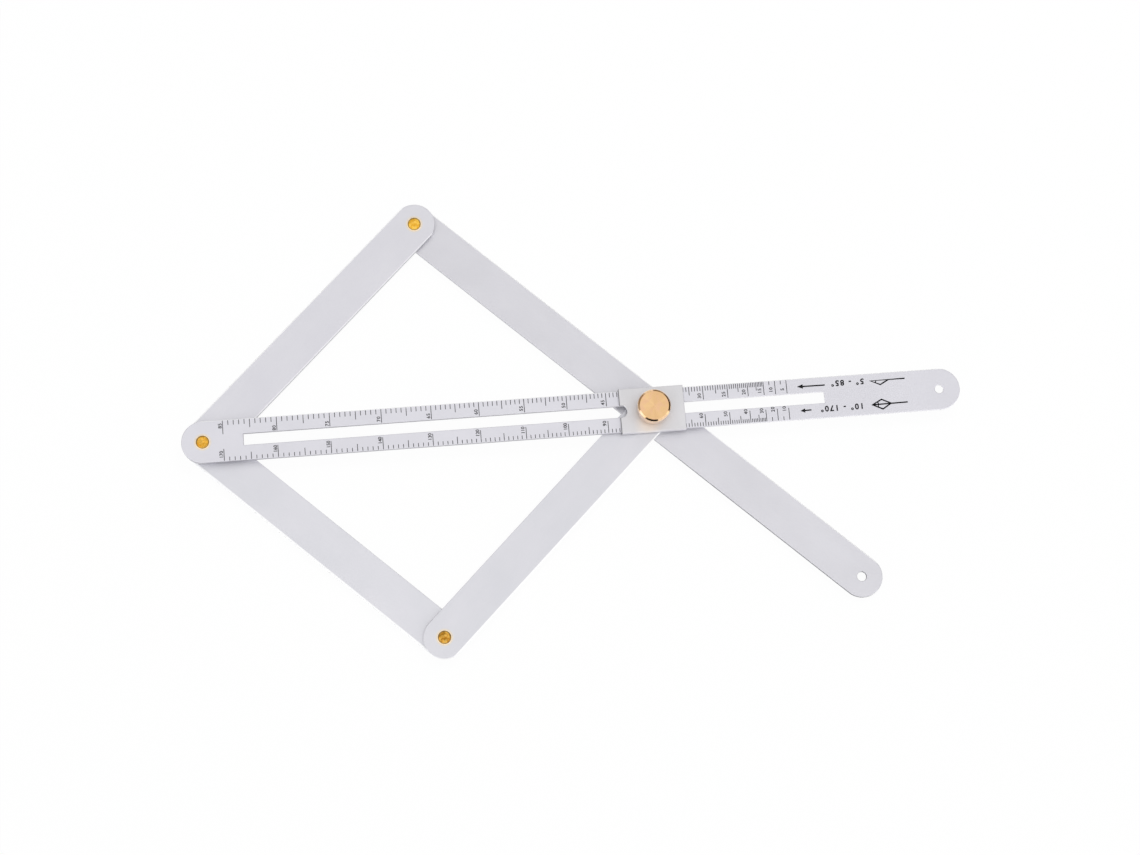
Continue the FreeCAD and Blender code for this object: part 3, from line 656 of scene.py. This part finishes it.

# %% [markdown]
# The rivets. Each is one piece of soft brass: the shank fills the holes, the foot was closed against an
# anvil and the head was spread by hammer taps, which leave shallow dents. A ring round the dome's edge is
# painted dark, a painted shade and dark reflection, and the flange outside it is painted near white, a
# painted highlight. A perfect dome would look machine made, so the lathe tree also dents them.

# %% Hammered brass and three rivets
def hammered_brass(name, centre, bright, dull, shaded_rim, dome_radius):
    material, tree, shader = new_material(name, Metallic=1.0)
    reach = distance_out(tree, centre)[0]
    patches = noise(tree, pattern_space(tree, centre, 0.7, (1.3 * MM,) * 3), 1.5, 0.36, 0.62)
    blush = noise(tree, pattern_space(tree, centre, 2.1, (1.6 * MM,) * 3), 1.0, 0.42, 0.6)
    # A ring round the dome's edge is painted dark: painted shade and dark reflection where the dome meets the
    # flange.
    from_dome_edge = calc(tree, "ABSOLUTE", calc(tree, "SUBTRACT", reach, dome_radius - 0.12))
    rim_shade = remap(tree, from_dome_edge, 0.42, 0.05)
    colour = blend(tree, patches, bright, dull)
    colour = blend(tree, calc(tree, "MULTIPLY", blush, 0.5), colour, srgb(255, 196, 126), "SOFT_LIGHT")
    colour = blend(tree, calc(tree, "MULTIPLY", rim_shade, 0.75), colour, shaded_rim)
    # The flange outside the dome is painted near white: a painted highlight.
    flange = remap(tree, reach, dome_radius - 0.02, dome_radius + 0.16)
    tree.links.new(blend(tree, flange, colour, srgb(255, 240, 216)), shader.inputs["Base Color"])
    grit = noise(tree, pattern_space(tree, centre, 0.0, (0.25 * MM,) * 3), 3.0)
    tree.links.new(remap(tree, grit, 0.0, 1.0, 0.22, 0.36), shader.inputs["Roughness"])
    taps = add(tree, "ShaderNodeTexVoronoi", {"Vector": pattern_space(tree, centre, 0.2, (1.3 * MM,) * 3),
                                              "Scale": 1.0}, feature="SMOOTH_F1").outputs["Distance"]
    tree.links.new(relief(tree, taps, 0.05 * MM, 0.7), shader.inputs["Normal"])
    return material


def rivet(name, node, axis, head_level, seed, body, bright, dull):
    low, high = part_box(node)
    head, tail, tail_bevel, foot_height, shank = (high.x - low.x) / 2 / MM, 3.2, 0.2, 1.0, 2.0
    flange, dome_radius, dome_height, dome_steps, rise = head + 0.1, head - 0.3, 0.5, 10, 0.16
    outline = [(0, 0), (tail - tail_bevel, 0), (tail, tail_bevel), (tail, foot_height), (shank, foot_height),
               (shank, head_level), (flange - 0.06, head_level), (flange, head_level + 0.06),
               (flange, head_level + rise), (dome_radius + 0.06, head_level + rise + 0.02)]
    dome = [(dome_radius * math.sin(t), head_level + rise + 0.04 + dome_height * math.cos(t)) for t in
            (math.pi / 2 * k / dome_steps for k in range(dome_steps - 1, -1, -1))]
    finish = hammered_brass(f"{name}_brass", axis, bright, dull, srgb(122, 100, 66), dome_radius)
    piece = turned(name, rounded(outline, 0.06, 2) + dome, axis, Segments=96, Dent_Depth=0.10 * MM,
                   Dent_Size=1.5 * MM, Dent_Low=(head_level + rise + 0.06) * MM, Seed=seed, Material=finish)
    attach(piece, body)
    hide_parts(node)


arm_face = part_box("upper_arm")[1].z / MM
rivet("hammered_rivet_ruler", "ruler_rivet", ruler_pivot, ruler_face / MM, 1.0, "ruler",
      srgb(240, 190, 92), srgb(206, 154, 52))
rivet("hammered_rivet_upper", "upper_rivet", upper_pivot, arm_face, 2.0, "upper_arm",
      srgb(255, 206, 98), srgb(226, 170, 58))
rivet("hammered_rivet_lower", "lower_rivet", lower_pivot, arm_face, 3.0, "short_arm",
      srgb(226, 180, 92), srgb(160, 116, 36))

# %% [markdown]
# The scale. Lines and numbers are engraved and filled with black, so they lie level with the metal. They
# could be painted by the material, but then they would exist only in a render, so they are made as thin
# solids. The slider's left edge stands one slider half behind the stud, which is two arm spans times the
# cosine of the half angle from the rivet. That rule places every line down to 10 degrees, and the last line
# stands one more step of the same width out.

# %% Ink, and the rule that places a line
def filled_engraving(name):
    material, tree, shader = new_material(name, Roughness=0.5, Specular_IOR_Level=0.12)
    wear_and_rim_highlight = noise(tree, pattern_space(tree, ruler_pivot, 0.0, (0.9 * MM, 0.5 * MM, MM)), 3.0)
    tree.links.new(blend(tree, wear_and_rim_highlight, srgb(4, 4, 6), srgb(24, 23, 27)), shader.inputs["Base Color"])
    return material


ink = filled_engraving("black_filling")
ink_rise, ink_sink = 0.015 * MM, 0.005 * MM
ink_level, ink_depth = ruler_face + (ink_rise - ink_sink) / 2, ink_rise + ink_sink


def line_place(angle):
    """How far a scale line stands from the ruler's rivet, in mm, for half the angle of the arms."""
    return (2 * arm_span * math.cos(math.radians(angle)) + reading_edge) / MM


last_line = 2 * line_place(10) - line_place(15)
print(f"85 degrees at {line_place(85):.2f} mm, 15 degrees at {line_place(15):.2f} mm, "
      f"last line {last_line:.2f} mm")

# %% Scale lines as instanced bars
bars, bar_given, bar_keys = new_geometry_tree("scale_lines", {"Line Width": "Float", "Ink Depth": "Float",
                                                              "Material": "Material"})
one_bar = add(bars, "GeometryNodeMeshCube", {0: (1, 1, 1)}).outputs[0]
length = add(bars, "GeometryNodeInputNamedAttribute", {"Name": "length"}, data_type="FLOAT").outputs[0]
bar_size = add(bars, "ShaderNodeCombineXYZ", {0: bar_given["Line Width"], 1: length,
                                              2: bar_given["Ink Depth"]}).outputs[0]
placed_bars = add(bars, "GeometryNodeInstanceOnPoints", {"Points": bar_given["Geometry"], "Instance": one_bar,
                                                         "Scale": bar_size}).outputs[0]
finish_tree(bars, placed_bars, bar_given["Material"])

line_width, line_end = 0.31, 9.8
short_line, middle_line, long_line = (7.5, -8.0), (5.7, -6.3), (3.2, -4.0)
short_last_line = (7.9, -8.0)
half_degree_steps = (85 - 15) * 2
lines = []
for step in range(half_degree_steps + 1):
    angle = 85 - step * 0.5
    upper, lower = long_line if angle % 5 == 0 else middle_line if angle % 2.5 == 0 else short_line
    lines += [(line_place(angle), line_end, upper), (line_place(angle), -line_end, lower)]
for place, (upper, lower) in ((line_place(10), long_line), (last_line, long_line),
                              ((line_place(15) + line_place(10)) / 2, short_last_line),
                              ((line_place(10) + last_line) / 2, short_last_line)):
    lines += [(place, line_end, upper), (place, -line_end, lower)]
start = bpy.data.meshes.new("scale_line_points")
start.from_pydata([(ruler_pivot.x + x * MM, (a + b) / 2 * MM, ink_level) for x, a, b in lines], [], [])
line_lengths = start.attributes.new("length", "FLOAT", "POINT")
line_lengths.data.foreach_set("value", [abs(a - b) * MM for x, a, b in lines])
scale_lines = grown("scale_lines", start, bars, bar_keys,
                    {"Line Width": line_width * MM, "Ink Depth": ink_depth, "Material": ink})
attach(scale_lines, "ruler")
print("scale lines:", len(lines))

# %% Digit stamps and the numbers
def letters(name, text, height, weight=0.0, spacing=1.0):
    """Flat lettering as a closed mesh, centred on the origin; height is a capital's height in metres."""
    curve = bpy.data.curves.new(name, "FONT")
    curve.body = text
    curve.size = 1.0
    curve.offset = weight
    curve.space_character = spacing
    curve.resolution_u = 3
    capital_share = 0.69
    scale = height / capital_share
    curve.extrude = ink_depth / 2 / scale
    carrier = bpy.data.objects.new(name, curve)
    bpy.context.scene.collection.objects.link(carrier)
    mesh = bpy.data.meshes.new_from_object(carrier.evaluated_get(bpy.context.evaluated_depsgraph_get()))
    bpy.data.objects.remove(carrier)
    mesh.transform(Matrix.Scale(scale, 4))
    xs = [v.co.x for v in mesh.vertices]
    mesh.transform(Matrix.Translation((-(min(xs) + max(xs)) / 2, -height / 2, 0)))
    mesh.name = name
    return mesh


digit_height, digit_step = 1.65, 1.34
stamps = bpy.data.collections.new("digit_stamps")
bpy.context.scene.collection.children.link(stamps)
for digit in range(10):
    stamps.objects.link(bpy.data.objects.new(f"digit_{digit}", letters(f"digit_{digit}", str(digit),
                                                                       digit_height * MM, 0.02)))
writer, writer_given, writer_keys = new_geometry_tree("numbers", {"Stamps": "Collection", "Turn": "Float",
                                                                  "Material": "Material"})
stamp_set = add(writer, "GeometryNodeCollectionInfo", {
    "Collection": writer_given["Stamps"], "Separate Children": True, "Reset Children": True}).outputs[0]
which = add(writer, "GeometryNodeInputNamedAttribute", {"Name": "digit"}, data_type="INT").outputs[0]
turned_by = add(writer, "ShaderNodeCombineXYZ", {2: writer_given["Turn"]}).outputs[0]
written = add(writer, "GeometryNodeInstanceOnPoints", {
    "Points": writer_given["Geometry"], "Instance": stamp_set, "Pick Instance": True, "Instance Index": which,
    "Rotation": turned_by}).outputs[0]
finish_tree(writer, written, writer_given["Material"])

upper_heights = {85: 7.3, 80: 4.45, 75: 4.7, 70: 5.05, 65: 4.85, 60: 5.1, 30: 5.1, 25: 5.1, 20: 5.4, 15: 5.4,
                 10: 5.5, 5: 5.35}
lower_heights = {85: -6.7, 80: -5.7, 75: -5.5, 70: -5.4, 65: -5.4, 60: -5.25, 55: -5.5, 50: -5.25, 45: -5.1,
                 40: -4.95, 35: -4.85, 30: -4.7, 25: -4.75, 20: -4.35, 15: -4.5, 10: -4.15, 5: -4.3}
usual_height, three_digit_share = 5.2, 0.87
near_gap, last_gap, gap_growth = 0.47, 0.5, 0.85
digits = []
for angle in range(85, 0, -5):
    place = last_line if angle == 5 else line_place(angle)
    gap = (near_gap if angle > 10 else last_gap) + gap_growth * (place / last_line) ** 2
    rows = ((angle, upper_heights.get(angle, usual_height)), (2 * angle, lower_heights[angle]))
    for number, height in rows:
        text = str(number)
        spread = digit_step * (1.0 if len(text) < 3 else three_digit_share)
        for n, character in enumerate(text):
            along = height + (n - (len(text) - 1) / 2) * spread
            digits.append((place - gap - digit_height / 2, along, int(character)))
start = bpy.data.meshes.new("number_points")
start.from_pydata([(ruler_pivot.x + x * MM, y * MM, ink_level) for x, y, d in digits], [], [])
start.attributes.new("digit", "INT", "POINT").data.foreach_set("value", [d for x, y, d in digits])
scale_numbers = grown("scale_numbers", start, writer, writer_keys,
                      {"Stamps": stamps, "Turn": math.pi / 2, "Material": ink})
open_edges = outward(scale_numbers)
for stamp in list(stamps.objects):
    bpy.data.objects.remove(stamp)
bpy.data.collections.remove(stamps)
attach(scale_numbers, "ruler")
print(f"numbers: {len(digits)} digits, {len(scale_numbers.data.polygons)} faces, {open_edges} open edges")

# %% [markdown]
# The key to the scale. At the free end each row has an arrow, its range in degrees and a small sketch, which
# say which edge reads which angle. The arrows and sketches could be curves with a bevel, but they are drawn
# as flat ribbons, because a ribbon with mitred corners is one closed solid as thin as the lines.

# %% Ribbons, arrowheads and the two sketches
def on_ruler(work, x, y, rise):
    """A mesh point at x and y mm from the ruler's rivet, raised over its face."""
    return work.verts.new((ruler_pivot.x + x * MM, y * MM, ruler_face + rise))


def ribbon(work, points, width, closed=False):
    """A flat ribbon along points in mm, mitred at its corners, as thick as the ink."""
    count = len(points)
    sides = []
    for n in range(count):
        here = Vector(points[n])
        before = Vector(points[n - 1]) if closed or n > 0 else None
        after = Vector(points[(n + 1) % count]) if closed or n < count - 1 else None
        into = (here - before).normalized() if before is not None else (after - here).normalized()
        out = (after - here).normalized() if after is not None else into
        normal_in, normal_out = Vector((-into.y, into.x)), Vector((-out.y, out.x))
        mitre = (normal_in + normal_out).normalized()
        mitre *= width / 2 / max(mitre.dot(normal_in), 0.5)
        sides.append((here + mitre, here - mitre))
    rings = []
    for left, right in sides:
        corners = [(left, ink_rise), (right, ink_rise), (right, -ink_sink), (left, -ink_sink)]
        rings.append([on_ruler(work, point.x, point.y, rise) for point, rise in corners])
    for n in range(count if closed else count - 1):
        first, second = rings[n], rings[(n + 1) % count]
        for k in range(4):
            work.faces.new((first[k], first[(k + 1) % 4], second[(k + 1) % 4], second[k]))
    if not closed:
        work.faces.new(rings[0])
        work.faces.new(rings[-1])


def filled(work, points):
    """A flat filled shape with its corners in mm."""
    upper = [on_ruler(work, x, y, ink_rise) for x, y in points]
    lower = [on_ruler(work, x, y, -ink_sink) for x, y in points]
    work.faces.new(upper)
    work.faces.new(lower)
    for n in range(len(points)):
        work.faces.new((upper[n], upper[n - 1], lower[n - 1], lower[n]))


def arc(centre, radius, start, end, steps=8):
    angles = [math.radians(start + (end - start) * n / steps) for n in range(steps + 1)]
    return [(centre[0] + radius * math.cos(a), centre[1] + radius * math.sin(a)) for a in angles]


sketch_mesh = bpy.data.meshes.new("scale_key")
scale_key = bpy.data.objects.new("scale_key", sketch_mesh)
bpy.context.scene.collection.objects.link(scale_key)
work = bmesh.new()
stroke, thin_stroke = 0.68, 0.54
half_sketch, whole_sketch = (322.2, 6.4), (322.0, -5.5)
filled(work, [(286.2, 6.1), (289.1, 7.2), (289.1, 4.95)])
ribbon(work, [(289.0, 6.05), (299.9, 6.0)], stroke)
ribbon(work, [(339.1, 6.5), half_sketch, (326.9, 4.25), (330.8, 6.35)], stroke)
ribbon(work, arc(half_sketch, 2.6, 0, -25), thin_stroke)
filled(work, [(286.7, -5.9), (289.0, -4.8), (289.0, -6.95)])
ribbon(work, [(288.9, -5.87), (292.1, -5.8)], stroke)
ribbon(work, [whole_sketch, (326.6, -3.1), (331.1, -5.3), (326.9, -7.9)], stroke, closed=True)
ribbon(work, [whole_sketch, (339.3, -5.3)], stroke)
ribbon(work, arc(whole_sketch, 2.9, 28, -28), thin_stroke)
work.to_mesh(sketch_mesh)
work.free()
sketch_mesh.materials.append(ink)
open_edges = outward(scale_key)
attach(scale_key, "ruler")
print(f"scale key: {len(sketch_mesh.polygons)} faces, {open_edges} open edges")

# %% The two ranges in degrees
range_height, range_weight, range_spacing = 2.65, 0.036, 1.3
for name, text, centre in (("range_upper", "5° - 85°", (311.0, 6.45)),
                           ("range_lower", "10° - 170°", (306.9, -5.75))):
    mesh = letters(name, text, range_height * MM, range_weight, range_spacing)
    mesh.transform(Matrix.Rotation(math.pi, 4, "Z"))
    mesh.transform(Matrix.Translation((ruler_pivot.x + centre[0] * MM, centre[1] * MM, ink_level)))
    mesh.materials.clear()
    mesh.materials.append(ink)
    lettering = bpy.data.objects.new(name, mesh)
    bpy.context.scene.collection.objects.link(lettering)
    open_edges = outward(lettering)
    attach(lettering, "ruler")
    print(f"{name}: {len(mesh.polygons)} faces, {open_edges} open edges")
